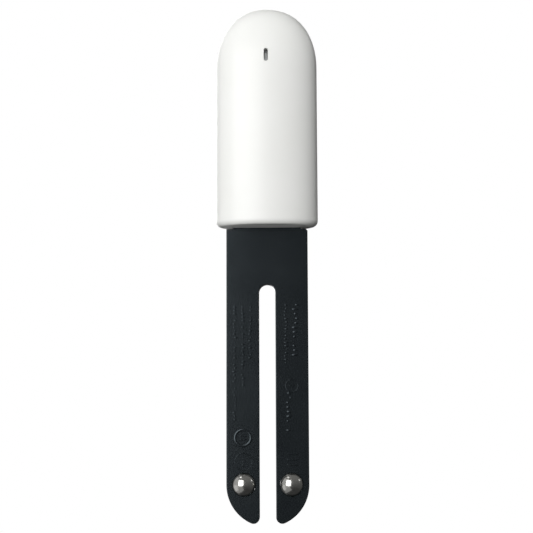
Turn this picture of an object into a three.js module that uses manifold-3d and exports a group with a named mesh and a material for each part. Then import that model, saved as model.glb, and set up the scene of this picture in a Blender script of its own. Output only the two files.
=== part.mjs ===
// A wireless soil moisture sensor: a hollow white head with a coin cell and a circuit board in it,
// and a dark forked blade with two steel electrodes that is pushed into the soil of a plant pot.
// Millimetres, +Z up. The origin is the centre of the head's underside, on the soil line.
// The front (light slot) looks along -Y, and the battery cover closes the back, along +Y.
import * as THREE from "three";
import { mergeVertices } from "three/addons/utils/BufferGeometryUtils.js";
import Module from "manifold-3d";

const wasm = await Module();
wasm.setup();

// ---- Driving dimensions ----
const GAP = 0.3; // clearance between pieces that touch on the real object
const BIG = 200; // reach of a cutting block

const HEAD_WIDTH = 23.7;
const HEAD_DEPTH = 12.5;
const HEAD_HEIGHT = 52.1;
const HEAD_WALL = 1;
const DOME_HEIGHT = 14.6;
const DOME_POWER = 2.2; // exponent of the dome's superellipse
const RIM_RADIUS = 1.4; // fillet round the underside
const RIM_DEPTH_SHARE = 0.6; // the fillet is tighter on the front and the back
const INNER_RIM_RADIUS = 0.4;
const SEAM_Y = 0.9; // middle of the seam between front shell and battery cover

const BLADE_WIDTH = 18.85;
const BLADE_DEPTH = 2.6;
const BLADE_REACH = 67.9; // from the soil line to the tips
const BLADE_EDGE = 0.35;
const BLADE_WALL = 0.9; // plastic round the probe board
const BLADE_SKIN = 0.6; // plastic in front of it and behind it
const BLADE_TOP = 3.4; // the blade's neck ends this far inside the head
const SHOULDER_Z = -0.5; // the blade's full width ends just under the head
const NECK_HALF = 7.8; // half the width of the neck that goes on into the head
const BOARD_NECK_HALF = 6.6;
const FORK_SLOT_WIDTH = 3.75;
const FORK_SLOT_TOP = -13.45;
const TIP_FILLET = 1.4;
const FLANGE_WIDTH = 17.4; // of the flange and the seal inside the head
const FLANGE_DEPTH = 4.4;
const FLANGE_CORNER = 1;

const ELECTRODE_X = 5.43;
const ELECTRODE_RADIUS = 2.6;
const ELECTRODE_HEIGHT = 1.5; // of the dome, above the blade's face
const ELECTRODE_SHANK = 0.9;
const ELECTRODE_BACK_HEIGHT = 0.7;

const LIGHT_SLOT = { z: 39.7, width: 0.95, height: 2.9 };

const CELL_RADIUS = 10;
const CELL_Z = 17.2;
const CELL_FRONT = -1.3;
const CELL_BACK = 1.9;

const BOARD_THICKNESS = 0.8;
const MAIN_BOARD_Y = -3; // middle of the main board
const CHASSIS_FRONT = -2.3;
const CHASSIS_WEB = 0.7;
const SCREW = { x: 7, z: 31, shank: 0.6, head: 1.3 };

// ---- Derived dimensions ----
const BLADE_FRONT = -BLADE_DEPTH / 2;
const TIP_CENTRE_X = FORK_SLOT_WIDTH / 2 + TIP_FILLET;
const TIP_CENTRE_DROP = Math.sqrt((BLADE_WIDTH / 2 - TIP_FILLET) ** 2 - TIP_CENTRE_X ** 2);
const END_Z = -BLADE_REACH + TIP_CENTRE_DROP + TIP_FILLET; // centre of the blade's round end
const CHASSIS_BACK = CHASSIS_FRONT + CHASSIS_WEB;
const MAIN_BOARD_BACK = MAIN_BOARD_Y + BOARD_THICKNESS / 2;
const CHIP_Y = MAIN_BOARD_Y - BOARD_THICKNESS / 2 - GAP; // back of each chip on the main board
const SIDES = [
  { side: "left", sign: -1 },
  { side: "right", sign: 1 },
];

// ---- Materials ----
const finish = (color, roughness, metalness) =>
  new THREE.MeshStandardMaterial({ color, roughness, metalness });
const shellWhite = finish(0xe9e9e4, 0.38, 0);
const bladeCharcoal = finish(0x2a3033, 0.5, 0);
const steel = finish(0xc3c6c8, 0.18, 1);
const sealRubber = finish(0x1b1c1d, 0.8, 0);
const boardGreen = finish(0x1f5a3a, 0.5, 0);
const chipBlack = finish(0x17181a, 0.45, 0);
const chassisGrey = finish(0x8d9194, 0.55, 0);
const clearPlastic = finish(0x9aa0a0, 0.2, 0);
const contactBrass = finish(0xc9a55a, 0.3, 1);
const ceramic = finish(0xd9d4c8, 0.5, 0);

// ---- Solids ----
function solid(geometry) {
  const bare = geometry.clone();
  bare.deleteAttribute("normal");
  bare.deleteAttribute("uv");
  const merged = mergeVertices(bare, 1e-4);
  const corners = merged.index.array;
  const triVerts = [];
  for (let i = 0; i < corners.length; i += 3) {
    const [a, b, c] = corners.slice(i, i + 3);
    if (a !== b && b !== c && c !== a) {
      triVerts.push(a, b, c);
    }
  }
  return new wasm.Manifold(
    new wasm.Mesh({
      numProp: 3,
      vertProperties: merged.attributes.position.array,
      triVerts: new Uint32Array(triVerts),
    }),
  );
}

function geometryOf(made) {
  const { vertProperties, triVerts } = made.getMesh();
  const geometry = new THREE.BufferGeometry();
  geometry.setAttribute("position", new THREE.BufferAttribute(vertProperties, 3));
  geometry.setIndex(new THREE.BufferAttribute(triVerts, 1));
  geometry.computeVertexNormals();
  return geometry;
}

const group = new THREE.Group();
function add(name, made, material) {
  const mesh = new THREE.Mesh(geometryOf(made), material);
  mesh.name = name;
  group.add(mesh);
}

// A block between two corners.
function block([x0, y0, z0], [x1, y1, z1]) {
  const geometry = new THREE.BoxGeometry(x1 - x0, y1 - y0, z1 - z0);
  geometry.translate((x0 + x1) / 2, (y0 + y1) / 2, (z0 + z1) / 2);
  return solid(geometry);
}

const behind = (y) => block([-BIG, y, -BIG], [BIG, BIG, BIG]);
const before = (y) => block([-BIG, -BIG, -BIG], [BIG, y, BIG]);

// An outline as straight steps, without the doubled points where one arc meets the next.
function stepped(outline, curveSegments) {
  const points = outline.getPoints(curveSegments);
  const kept = points.filter((point, i) => {
    const previous = points[(i + points.length - 1) % points.length];
    return point.distanceTo(previous) > 1e-3;
  });
  return new THREE.Shape(kept);
}

// An outline drawn in X and Z, made solid from y0 to y1.
function slab(outline, y0, y1, curveSegments = 12) {
  const geometry = new THREE.ExtrudeGeometry(stepped(outline, curveSegments), {
    depth: y1 - y0,
    bevelEnabled: false,
  });
  geometry.rotateX(Math.PI / 2);
  geometry.translate(0, y1, 0);
  return solid(geometry);
}

// A cylinder along Y.
function rod(x, z, radius, y0, y1, sides = 20) {
  const geometry = new THREE.CylinderGeometry(radius, radius, y1 - y0, sides);
  geometry.translate(x, (y0 + y1) / 2, z);
  return solid(geometry);
}

// A turned piece along Y: its profile is a list of [radius, y] that starts and ends on the axis,
// or closes on itself.
function turned(profile, x, z, sides = 20) {
  const points = profile.map(([radius, y]) => new THREE.Vector2(radius, y));
  const geometry = new THREE.LatheGeometry(points, sides);
  geometry.translate(x, 0, z);
  return solid(geometry);
}

// A rectangle with round corners, in X and Z. Without a radius its ends are fully round.
function rounded(x, z, width, height, radius = Math.min(width, height) / 2) {
  const reachX = width / 2 - radius;
  const reachZ = height / 2 - radius;
  const outline = new THREE.Shape();
  const quarter = Math.PI / 2;
  outline.absarc(x + reachX, z + reachZ, radius, 0, quarter, false);
  outline.absarc(x - reachX, z + reachZ, radius, quarter, 2 * quarter, false);
  outline.absarc(x - reachX, z - reachZ, radius, 2 * quarter, 3 * quarter, false);
  outline.absarc(x + reachX, z - reachZ, radius, 3 * quarter, 4 * quarter, false);
  return outline;
}

// The plate that stands round the blade's neck: a rounded rectangle in X and Y, from z0 to z1.
function neckPlate(z0, z1) {
  const outline = stepped(rounded(0, 0, FLANGE_WIDTH, FLANGE_DEPTH, FLANGE_CORNER), 4);
  const geometry = new THREE.ExtrudeGeometry(outline, { depth: z1 - z0, bevelEnabled: false });
  geometry.translate(0, 0, z0);
  return solid(geometry);
}

// ---- Head ----

// The head's outside, moved in by an inset: elliptical all the way up, with a rim fillet below
// and a superelliptical dome on top.
function headForm(inset, rim, sides = 48) {
  const halfWidth = HEAD_WIDTH / 2 - inset;
  const halfDepth = HEAD_DEPTH / 2 - inset;
  const domeFoot = HEAD_HEIGHT - DOME_HEIGHT;
  const domeRise = DOME_HEIGHT - inset;
  const profile = [new THREE.Vector2(0, inset)];
  const rimSteps = 3;
  for (let i = 0; i <= rimSteps; i++) {
    const angle = (i / rimSteps) * (Math.PI / 2);
    const out = halfWidth - rim + rim * Math.sin(angle);
    profile.push(new THREE.Vector2(out, inset + rim - rim * Math.cos(angle)));
  }
  const domeSteps = 10;
  for (let i = 0; i < domeSteps; i++) {
    const rise = Math.sin((i / domeSteps) * (Math.PI / 2));
    const out = halfWidth * (1 - rise ** DOME_POWER) ** (1 / DOME_POWER);
    profile.push(new THREE.Vector2(out, domeFoot + domeRise * rise));
  }
  profile.push(new THREE.Vector2(0, domeFoot + domeRise));
  const geometry = new THREE.LatheGeometry(profile, sides);
  geometry.rotateX(Math.PI / 2);
  // Below the dome the rings draw in by the fillet at the sides and by a share of it in front.
  const place = geometry.getAttribute("position");
  for (let i = 0; i < place.count; i++) {
    const radius = Math.hypot(place.getX(i), place.getY(i));
    const drawnIn = place.getZ(i) < domeFoot ? Math.min(halfWidth - radius, rim) : 0;
    const narrowing = (halfDepth - RIM_DEPTH_SHARE * drawnIn) / (halfWidth - drawnIn);
    place.setY(i, place.getY(i) * narrowing);
  }
  return solid(geometry);
}

const outerForm = headForm(0, RIM_RADIUS);
const innerForm = headForm(HEAD_WALL, INNER_RIM_RADIUS);
const headWall = outerForm.subtract(innerForm);
const bladeOpening = block(
  [-NECK_HALF - GAP, BLADE_FRONT - GAP, -1],
  [NECK_HALF + GAP, -BLADE_FRONT + GAP, HEAD_WALL + 1],
);

function frontShell() {
  const slot = slab(
    rounded(0, LIGHT_SLOT.z, LIGHT_SLOT.width, LIGHT_SLOT.height),
    -HEAD_DEPTH,
    -HEAD_DEPTH / 4,
    5,
  );
  const bossRadius = 1.7;
  const bossEnd = CHASSIS_FRONT - GAP;
  const pilot = { radius: SCREW.shank + GAP, end: -4.4 };
  let shell = headWall.intersect(before(SEAM_Y - GAP / 2)).subtract(slot).subtract(bladeOpening);
  for (const { sign } of SIDES) {
    const boss = rod(sign * SCREW.x, SCREW.z, bossRadius, -HEAD_DEPTH, bossEnd);
    shell = shell.add(boss.intersect(headForm(HEAD_WALL / 2, INNER_RIM_RADIUS)));
    shell = shell.subtract(rod(sign * SCREW.x, SCREW.z, pilot.radius, pilot.end, 0, 16));
  }
  return shell;
}

function batteryCover() {
  const nailNotch = slab(rounded(0, 0, 9, 1.6), 0, 3.2, 6);
  const tongues = [
    block([-2.5, -0.6, 46], [2.5, 5, 47]),
    ...SIDES.map(({ sign }) => {
      const inside = sign * 9.2;
      const outside = sign * 9.9;
      return block(
        [Math.min(inside, outside), -0.6, 29],
        [Math.max(inside, outside), 3.4, 33],
      );
    }),
  ];
  const pressRibs = [-4, 4].map((x) => block([x - 0.4, CELL_BACK + 0.4, 9], [x + 0.4, 5.6, 25]));
  const insideOuter = headForm(HEAD_WALL / 2, INNER_RIM_RADIUS);
  let cover = headWall.intersect(behind(SEAM_Y + GAP / 2)).subtract(bladeOpening);
  for (const feature of [...tongues, ...pressRibs]) {
    cover = cover.add(feature.intersect(insideOuter));
  }
  return cover.subtract(nailNotch);
}

// The cover's seal is an arch that lines the seam from one side of the blade to the other.
function coverGasket() {
  const outside = headForm(HEAD_WALL + 0.15, INNER_RIM_RADIUS, 36);
  const inside = headForm(HEAD_WALL + 0.4, INNER_RIM_RADIUS, 36);
  const band = block([-BIG, 0.2, 4.4], [BIG, 1.4, BIG]);
  return outside.subtract(inside).intersect(band);
}

function lightGuide() {
  const plate = slab(rounded(0, LIGHT_SLOT.z, 2.4, 4.4), -4.85, -4.5, 3);
  const tongue = slab(
    rounded(0, LIGHT_SLOT.z, LIGHT_SLOT.width - 0.4, LIGHT_SLOT.height - 0.4),
    -5.5,
    -4.7,
    3,
  );
  return plate.add(tongue);
}

// ---- Inside the head ----

// A plate outline with straight sides and a half-elliptical top.
function archOutline(halfWidth, bottom, shoulder, top) {
  const outline = new THREE.Shape();
  outline.moveTo(halfWidth, bottom);
  outline.lineTo(halfWidth, shoulder);
  outline.absellipse(0, shoulder, halfWidth, top - shoulder, 0, Math.PI, false);
  outline.lineTo(-halfWidth, bottom);
  return outline;
}

// A wall that follows the cell's edge between two angles.
function cradleWall(from, to) {
  const inner = CELL_RADIUS + GAP;
  const outer = inner + 1;
  const outline = new THREE.Shape();
  outline.absarc(0, CELL_Z, outer, from, to, false);
  outline.absarc(0, CELL_Z, inner, to, from, true);
  return slab(outline, CHASSIS_BACK - 0.1, CELL_BACK, 10);
}

function chassis() {
  const third = Math.PI / 6;
  let frame = slab(archOutline(9.3, 5.2, 33, 47), CHASSIS_FRONT, CHASSIS_BACK, 10);
  frame = frame.add(cradleWall(third, 5 * third)).add(cradleWall(7 * third, 11 * third));
  for (const x of [-4.2, 4.2]) {
    frame = frame.add(block([x - 0.4, CHASSIS_BACK - 0.1, 27], [x + 0.4, CELL_BACK, 43]));
  }
  frame = frame.add(block([-4.2, CHASSIS_BACK - 0.1, 35.6], [4.2, CELL_BACK, 36.4]));
  const positiveWindow = block([-1.9, -BIG, 26.6], [1.9, BIG, 30.4]);
  const negativeWindow = block([-3, -BIG, 12], [3, CHASSIS_BACK + 0.1, 22.4]);
  frame = frame.subtract(positiveWindow).subtract(negativeWindow);
  for (const { sign } of SIDES) {
    frame = frame.subtract(rod(sign * SCREW.x, SCREW.z, SCREW.shank + GAP, -BIG, BIG, 16));
  }
  return frame;
}

function chassisScrew(sign) {
  const x = sign * SCREW.x;
  const seat = CHASSIS_BACK + GAP;
  const head = rod(x, SCREW.z, SCREW.head, seat, seat + 0.7, 16);
  const shank = rod(x, SCREW.z, SCREW.shank, -4.1, seat + 0.1, 12);
  const drive = [
    block([x - 0.8, seat + 0.35, SCREW.z - 0.15], [x + 0.8, BIG, SCREW.z + 0.15]),
    block([x - 0.15, seat + 0.35, SCREW.z - 0.8], [x + 0.15, BIG, SCREW.z + 0.8]),
  ];
  return head.add(shank).subtract(drive[0]).subtract(drive[1]);
}

const LINK_PINS = { xs: [-3, 0, 3], z: 4.6, radius: 0.3 };

function drilledForPins(board) {
  return LINK_PINS.xs.reduce(
    (made, x) => made.subtract(rod(x, LINK_PINS.z, LINK_PINS.radius + 0.25, -BIG, BIG, 8)),
    board,
  );
}

function mainBoard() {
  let board = slab(
    archOutline(7.8, 3.8, 34, 45),
    MAIN_BOARD_Y - BOARD_THICKNESS / 2,
    MAIN_BOARD_BACK,
  );
  for (const { sign } of SIDES) {
    board = board.subtract(rod(sign * SCREW.x, SCREW.z, 2.05, -BIG, BIG, 24));
  }
  return drilledForPins(board);
}

// Each part on the front of the main board: middle in X and Z, width, height and thickness.
const CHIPS = [
  { name: "light_sensor", x: 0, z: 41, size: [2, 2, 0.6], material: chipBlack },
  { name: "status_led", x: 0, z: 38.4, size: [1.6, 0.8, 0.6], material: ceramic },
  { name: "radio_chip", x: 0, z: 22, size: [5, 5, 0.9], material: chipBlack },
  { name: "memory_chip", x: 0.5, z: 14.5, size: [4, 3, 0.8], material: chipBlack },
  { name: "timing_crystal", x: -4.4, z: 21, size: [1.6, 3.2, 0.6], material: steel },
  { name: "chip_antenna", x: 0, z: 33.2, size: [5, 2, 0.8], material: ceramic },
  { name: "temperature_sensor", x: 4.6, z: 13, size: [1.6, 1.6, 0.6], material: chipBlack },
];

function chip({ x, z, size: [width, height, thickness] }) {
  return block(
    [x - width / 2, CHIP_Y - thickness, z - height / 2],
    [x + width / 2, CHIP_Y, z + height / 2],
  );
}

function cellCan() {
  const wall = 0.35;
  const inside = CELL_RADIUS - wall;
  const profile = [
    [0, CELL_BACK - wall],
    [inside, CELL_BACK - wall],
    [inside, CELL_FRONT + 0.3],
    [CELL_RADIUS - 0.15, CELL_FRONT + 0.3],
    [CELL_RADIUS, CELL_FRONT + 0.5],
    [CELL_RADIUS, CELL_BACK - 0.3],
    [CELL_RADIUS - 0.3, CELL_BACK],
    [0, CELL_BACK],
  ];
  return turned(profile, 0, CELL_Z, 36);
}

function cellCap() {
  const profile = [
    [0, CELL_FRONT],
    [8.2, CELL_FRONT],
    [8.5, CELL_FRONT + 0.3],
    [8.85, CELL_FRONT + 0.3],
    [8.85, CELL_BACK - 0.7],
    [0, CELL_BACK - 0.7],
  ];
  return turned(profile, 0, CELL_Z, 36);
}

function cellSeal() {
  const profile = [
    [9.05, CELL_FRONT + 0.4],
    [9.45, CELL_FRONT + 0.4],
    [9.45, CELL_BACK - 0.6],
    [9.05, CELL_BACK - 0.6],
    [9.05, CELL_FRONT + 0.4],
  ];
  return turned(profile, 0, CELL_Z, 36);
}

// A spring strip: its side outline in Y and Z, with a width across X.
function strip(points, width) {
  const outline = new THREE.Shape(points.map(([y, z]) => new THREE.Vector2(y, z)));
  const geometry = new THREE.ExtrudeGeometry(outline, { depth: width, bevelEnabled: false });
  geometry.rotateY(Math.PI / 2);
  geometry.rotateX(Math.PI / 2);
  geometry.translate(-width / 2, 0, 0);
  return solid(geometry);
}

function positiveContact() {
  const foot = MAIN_BOARD_BACK + 0.15;
  const sheet = 0.2;
  const seat = CELL_Z + CELL_RADIUS + 0.2;
  return strip(
    [
      [foot, seat],
      [1.5, seat],
      [1.5, seat + sheet],
      [foot + sheet, seat + sheet],
      [foot + sheet, 30],
      [foot, 30],
    ],
    3,
  );
}

function negativeContact() {
  const foot = MAIN_BOARD_BACK + 0.15;
  const crest = CELL_FRONT - 0.15;
  const sheet = 0.2;
  return strip(
    [
      [foot, 12.6],
      [foot + sheet, 12.6],
      [foot + sheet, 15],
      [crest, 19],
      [crest, 20.4],
      [crest - 0.5, 21.6],
      [crest - 0.5 - sheet, 21.5],
      [crest - sheet, 20.3],
      [crest - sheet, 19.1],
      [foot, 15.1],
    ],
    3,
  );
}

// ---- Blade ----

// The fork's outline, moved in by an inset, up to a given height.
function forkOutline(inset, top) {
  const half = BLADE_WIDTH / 2 - inset;
  const slotHalf = FORK_SLOT_WIDTH / 2 + inset;
  const fillet = TIP_FILLET - inset;
  const tipZ = END_Z - TIP_CENTRE_DROP;
  const tilt = Math.atan2(TIP_CENTRE_DROP, TIP_CENTRE_X);
  const slotArcZ = FORK_SLOT_TOP - FORK_SLOT_WIDTH / 2;
  const turn = Math.PI;
  const outline = new THREE.Shape();
  outline.moveTo(half, top);
  outline.lineTo(-half, top);
  outline.absarc(0, END_Z, half, turn, turn + tilt, false);
  outline.absarc(-TIP_CENTRE_X, tipZ, Math.max(fillet, 0.1), turn + tilt, 2 * turn, false);
  outline.absarc(0, slotArcZ, slotHalf, turn, 0, true);
  outline.absarc(TIP_CENTRE_X, tipZ, Math.max(fillet, 0.1), turn, 2 * turn - tilt, false);
  outline.absarc(0, END_Z, half, 2 * turn - tilt, 2 * turn, false);
  return outline;
}

// Everything below a height, and only a neck of the given half width above it.
function neckedAbove(z, halfWidth) {
  return block([-BIG, -BIG, -BIG], [BIG, BIG, z]).add(
    block([-halfWidth, -BIG, z - 1], [halfWidth, BIG, BIG]),
  );
}

function bladeForm() {
  const geometry = new THREE.ExtrudeGeometry(stepped(forkOutline(0, BLADE_TOP), 8), {
    depth: BLADE_DEPTH - 2 * BLADE_EDGE,
    bevelThickness: BLADE_EDGE,
    bevelSize: BLADE_EDGE,
    bevelOffset: -BLADE_EDGE,
    bevelSegments: 1,
  });
  geometry.rotateX(Math.PI / 2);
  geometry.translate(0, BLADE_DEPTH / 2 - BLADE_EDGE, 0);
  const flange = neckPlate(BLADE_TOP - 0.9, BLADE_TOP);
  return solid(geometry).intersect(neckedAbove(SHOULDER_Z, NECK_HALF)).add(flange);
}

const boardPocket = slab(
  forkOutline(BLADE_WALL, BLADE_TOP + 1),
  BLADE_FRONT + BLADE_SKIN,
  -BLADE_FRONT - BLADE_SKIN,
  6,
).intersect(neckedAbove(SHOULDER_Z - BLADE_WALL, BOARD_NECK_HALF + GAP));
const electrodeHole = (radius) =>
  SIDES.map(({ sign }) => rod(sign * ELECTRODE_X, END_Z, radius, -BIG, BIG, 24)).reduce((a, b) =>
    a.add(b),
  );

function bladeHalf(half) {
  const holes = electrodeHole(ELECTRODE_RADIUS + 0.15);
  return bladeForm().intersect(half).subtract(boardPocket).subtract(holes);
}

function probeBoard() {
  const board = slab(
    forkOutline(BLADE_WALL + GAP, 5.6),
    -BOARD_THICKNESS / 2,
    BOARD_THICKNESS / 2,
    6,
  ).intersect(neckedAbove(SHOULDER_Z - BLADE_WALL - GAP, BOARD_NECK_HALF));
  return drilledForPins(board.subtract(electrodeHole(ELECTRODE_SHANK + 0.25)));
}

function neckSeal() {
  const z0 = HEAD_WALL + 0.2;
  const z1 = z0 + 1;
  const ring = neckPlate(z0, z1);
  const hole = block(
    [-NECK_HALF - 0.2, BLADE_FRONT - 0.2, 0],
    [NECK_HALF + 0.2, -BLADE_FRONT + 0.2, BIG],
  );
  return ring.subtract(hole);
}

// ---- Electrodes ----

// A dome of the given radius whose foot is at y = foot and whose crown is at y = crown.
function domeProfile(radius, foot, crown) {
  const steps = 5;
  const points = [];
  for (let i = steps; i > 0; i--) {
    const angle = ((steps - i) / steps) * (Math.PI / 2);
    points.push([radius * Math.cos(angle), foot + (crown - foot) * Math.sin(angle)]);
  }
  return points;
}

// The front electrode: a dome with a shank that runs through the blade.
function electrode(sign) {
  const foot = BLADE_FRONT + 0.1;
  const shankEnd = 1.2;
  const dome = domeProfile(ELECTRODE_RADIUS, foot, BLADE_FRONT - ELECTRODE_HEIGHT);
  const profile = [
    [0, BLADE_FRONT - ELECTRODE_HEIGHT],
    ...dome.reverse(),
    [ELECTRODE_SHANK, foot],
    [ELECTRODE_SHANK, shankEnd],
    [0, shankEnd],
  ];
  return turned(profile, sign * ELECTRODE_X, END_Z);
}

// The back electrode: a lower dome, pressed onto the end of the shank.
function electrodeBack(sign) {
  const foot = -BLADE_FRONT - 0.6;
  const face = -BLADE_FRONT + 0.1;
  const dome = domeProfile(ELECTRODE_RADIUS, face, face + ELECTRODE_BACK_HEIGHT);
  const profile = [
    [0, foot + 0.75],
    [ELECTRODE_SHANK + 0.15, foot + 0.75],
    [ELECTRODE_SHANK + 0.15, foot],
    [ELECTRODE_RADIUS - 0.4, foot],
    [ELECTRODE_RADIUS - 0.4, face],
    ...dome,
    [0, face + ELECTRODE_BACK_HEIGHT],
  ];
  return turned(profile, sign * ELECTRODE_X, END_Z);
}

function electrodeSeal(sign) {
  const inner = ELECTRODE_SHANK + 0.2;
  const outer = ELECTRODE_RADIUS - 0.2;
  const y0 = BLADE_FRONT + 0.3;
  const y1 = y0 + 0.4;
  const profile = [
    [inner, y0],
    [outer, y0],
    [outer, y1],
    [inner, y1],
    [inner, y0],
  ];
  return turned(profile, sign * ELECTRODE_X, END_Z);
}

// ---- Assembly ----
add("front_shell", frontShell(), shellWhite);
add("battery_cover", batteryCover(), shellWhite);
add("cover_gasket", coverGasket(), sealRubber);
add("light_guide", lightGuide(), clearPlastic);
add("chassis", chassis(), chassisGrey);
add("main_board", mainBoard(), boardGreen);
add("probe_board", probeBoard(), boardGreen);
add("cell_can", cellCan(), steel);
add("cell_cap", cellCap(), steel);
add("cell_seal", cellSeal(), sealRubber);
add("positive_contact", positiveContact(), contactBrass);
add("negative_contact", negativeContact(), contactBrass);
add("neck_seal", neckSeal(), sealRubber);
add("blade_front", bladeHalf(before(-GAP / 2)), bladeCharcoal);
add("blade_back", bladeHalf(behind(GAP / 2)), bladeCharcoal);
for (const each of CHIPS) {
  add(each.name, chip(each), each.material);
}
LINK_PINS.xs.forEach((x, i) => {
  add(`link_pin_${i + 1}`, rod(x, LINK_PINS.z, LINK_PINS.radius, -3.9, 0.9, 8), contactBrass);
});
for (const { side, sign } of SIDES) {
  add(`chassis_screw_${side}`, chassisScrew(sign), steel);
  add(`electrode_${side}`, electrode(sign), steel);
  add(`electrode_back_${side}`, electrodeBack(sign), steel);
  add(`electrode_seal_${side}`, electrodeSeal(sign), sealRubber);
}

export default group;
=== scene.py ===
# %% [markdown]
# # A wireless soil moisture sensor
# The sensor is a white egg-shaped head on a dark forked blade. A coin cell and a circuit board sit in
# the head, and two steel domes near the blade's tips feel how wet the soil is. This lesson builds the
# finished surface of each piece over a plain engineering model, which holds the sizes and the motion.

# %% Load the engineering model
import math

import bmesh
import bpy
from mathutils import Matrix, Vector


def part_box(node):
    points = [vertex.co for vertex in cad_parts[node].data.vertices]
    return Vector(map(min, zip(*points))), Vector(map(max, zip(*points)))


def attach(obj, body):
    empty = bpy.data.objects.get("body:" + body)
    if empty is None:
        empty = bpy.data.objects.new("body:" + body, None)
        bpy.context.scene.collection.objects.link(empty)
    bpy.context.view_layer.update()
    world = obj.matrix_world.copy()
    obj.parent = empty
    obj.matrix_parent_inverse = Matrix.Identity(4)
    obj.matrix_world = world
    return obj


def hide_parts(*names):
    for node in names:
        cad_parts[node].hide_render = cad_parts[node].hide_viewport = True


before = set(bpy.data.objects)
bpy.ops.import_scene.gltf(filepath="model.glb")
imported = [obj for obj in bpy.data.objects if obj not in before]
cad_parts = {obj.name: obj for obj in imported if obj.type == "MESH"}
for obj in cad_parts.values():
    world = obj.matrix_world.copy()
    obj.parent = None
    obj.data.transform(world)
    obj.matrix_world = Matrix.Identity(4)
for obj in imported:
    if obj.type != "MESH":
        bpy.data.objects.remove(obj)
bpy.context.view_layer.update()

# %% [markdown]
# ## Sizes
# Everything is drawn in millimetres, because booleans and bevels work best on numbers near one, and each
# finished mesh is shrunk to metres at the end. Most sizes are read from the model's own pieces. Those
# that no piece's box shows, such as the seam between the two shells, are named here or beside the
# piece that they shape.

# %% Read the sizes of the main pieces
MM = 0.001


def corners(node):
    """A piece's lowest and highest corners, in millimetres."""
    low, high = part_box(node)
    return low / MM, high / MM


def middle(node):
    """A piece's centre, in millimetres."""
    low, high = corners(node)
    return (low + high) / 2


shell_low, shell_high = corners("front_shell")
blade_low, blade_high = corners("blade_front")
HALF_WIDTH = shell_high.x
HALF_DEPTH = -shell_low.y
HEAD_TOP = shell_high.z
DOME_HEIGHT = 14.6
DOME_FOOT = HEAD_TOP - DOME_HEIGHT
DOME_POWER = 2.2
RIM_RADIUS = 1.4
WALL = 1.0
SEAM_Y = shell_high.y + 0.15
SEAM_GAP = 0.12

BLADE_HALF_WIDTH = 9.425
BLADE_FRONT = -1.3
BLADE_TIP = blade_low.z
BLADE_TOP = blade_high.z
SHOULDER_Z = -0.5
RIM_DEPTH_SHARE = 0.6
NECK_HALF = 7.8
SLOT_HALF_WIDTH = 1.875
SLOT_TOP = -13.45
TIP_FILLET = 1.4
print("head", 2 * HALF_WIDTH, "x", 2 * HALF_DEPTH, "blade reach", -BLADE_TIP)

# %% [markdown]
# ## Camera
# The sensor is seen from almost straight in front and a little below, from 30 cm away, so the dark
# underside of the head shows. The lens is a mild telephoto. The camera is placed from its bearing and
# height angle, then aimed at a point a little lower than the one it circles.

# %% Place the camera
CAMERA_DISTANCE = 300
CAMERA_BEARING = math.radians(1.04)
CAMERA_HEIGHT_ANGLE = math.radians(-6.8)
CAMERA_ROLL = math.radians(0.22)
CIRCLED_POINT = Vector((0, 0, -7.9))
AIM_POINT = Vector((-0.14, 0, -9.17))
LENS = 87.2

back = Vector((
    math.sin(CAMERA_BEARING) * math.cos(CAMERA_HEIGHT_ANGLE),
    -math.cos(CAMERA_BEARING) * math.cos(CAMERA_HEIGHT_ANGLE),
    math.sin(CAMERA_HEIGHT_ANGLE),
))
eye = CIRCLED_POINT + back * CAMERA_DISTANCE
forward = (AIM_POINT - eye).normalized()
level_right = forward.cross(Vector((0, 0, 1))).normalized()
level_up = level_right.cross(forward)
right = level_right * math.cos(CAMERA_ROLL) - level_up * math.sin(CAMERA_ROLL)
up = level_up * math.cos(CAMERA_ROLL) + level_right * math.sin(CAMERA_ROLL)

camera = bpy.data.objects.new("camera", bpy.data.cameras.new("camera"))
bpy.context.scene.collection.objects.link(camera)
camera.data.lens = LENS
camera.data.sensor_width = 36
camera.data.clip_start = 0.01
camera.data.clip_end = 20
turn = Matrix((right, up, -forward)).transposed().to_4x4()
camera.matrix_world = Matrix.Translation(eye * MM) @ turn
bpy.context.scene.camera = camera
print("camera at", [round(c, 1) for c in eye], "mm")

# %% [markdown]
# ## Node helpers
# A material and a Geometry Nodes tree are both graphs of small steps. Two helpers keep them readable:
# `node` adds one step and wires its inputs by name, and `Field` lets a formula be written as a formula.

# %% Helpers for node graphs


def node(tree, kind, settings=None, **inputs):
    """Adds a node. An input's name has _ for a space, and its value is a number or another socket."""
    made = tree.nodes.new(kind)
    for key, value in (settings or {}).items():
        setattr(made, key, value)
    for key, value in inputs.items():
        plug(tree, value, made.inputs[key.replace("_", " ")])
    return made


def plug(tree, value, socket):
    """Gives a socket its value: another socket, a Field, or a plain number or colour."""
    if isinstance(value, Field):
        value = value.socket
    if isinstance(value, bpy.types.NodeSocket):
        tree.links.new(value, socket)
    else:
        socket.default_value = value


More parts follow.
